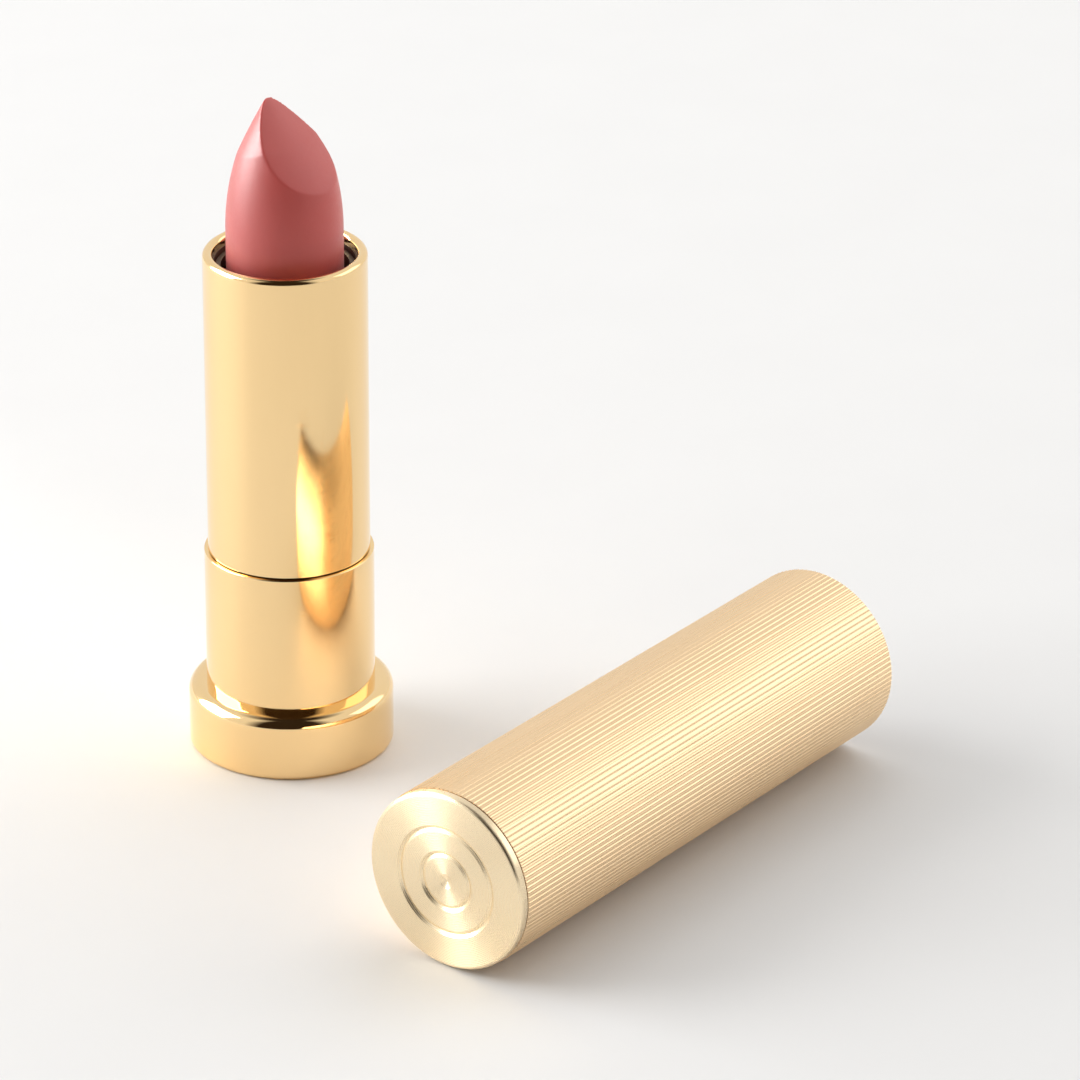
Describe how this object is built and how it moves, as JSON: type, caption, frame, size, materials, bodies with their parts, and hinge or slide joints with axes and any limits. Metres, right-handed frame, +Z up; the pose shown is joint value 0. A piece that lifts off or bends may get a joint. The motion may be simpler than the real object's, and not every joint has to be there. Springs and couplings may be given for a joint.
{
  "type": "twist-up lipstick",
  "caption": "Gold twist-up bullet lipstick, open with its slant-cut bullet raised by a helical cam, and its fluted cap lying beside it.",
  "frame": {"origin": "centre of the tube's underside, on the surface that it stands on", "axes": "+Z up along the tube's axis, towards the bullet; +X along the lying cap, from its closed end to its mouth"},
  "size_m": [0.0642, 0.0643, 0.0717],
  "materials": {
    "polished_gold": "polished, light gold plated",
    "fluted_gold": "finely fluted, satin champagne gold",
    "turned_gold": "turned face with fine rings",
    "rose_wax": "dusty rose wax, satin",
    "ivory_moulding": "moulded, matt",
    "dark_moulding": "moulded, matt",
    "brake_rubber": "matt",
    "steel": "plain turned",
    "label_paper": "blank matt paper"
  },
  "bodies": {
    "base": {"foot_ring": "polished_gold", "lower_barrel": "polished_gold", "base_plug": "dark_moulding", "shade_label": "label_paper", "base_insert": "dark_moulding", "base_weight": "steel", "guide_tube": "dark_moulding", "brake_ring": "brake_rubber"},
    "sleeve": {"upper_sleeve": "polished_gold", "spiral_cam": "dark_moulding"},
    "carrier": {"bullet_cup": "ivory_moulding", "bullet": "rose_wax"},
    "cap": {"cap_shell": "fluted_gold", "cap_end_disc": "turned_gold", "cap_liner": "ivory_moulding", "cap_weight": "steel"}
  },
  "joints": [
    {"name": "sleeve_twist", "type": "hinge", "parent": "base", "child": "sleeve", "pos_m": [0, 0, 0.02245], "axis": [0, 0, 1], "range_deg": [-437, 90]},
    {"name": "bullet_slide", "type": "slide", "parent": "base", "child": "carrier", "axis": [0, 0, 1], "range_m": [-0.017, 0.0035]},
    {"name": "cap_tip", "type": "hinge", "parent": "base", "child": "cap", "pos_m": [0.0342, -0.044, 0], "axis": [0, 1, 0], "range_deg": [0, 90]}
  ],
  "couplings": [
    {"joint": "bullet_slide", "follows": "sleeve_twist", "m_per_rad": 0.0022282}
  ]
}
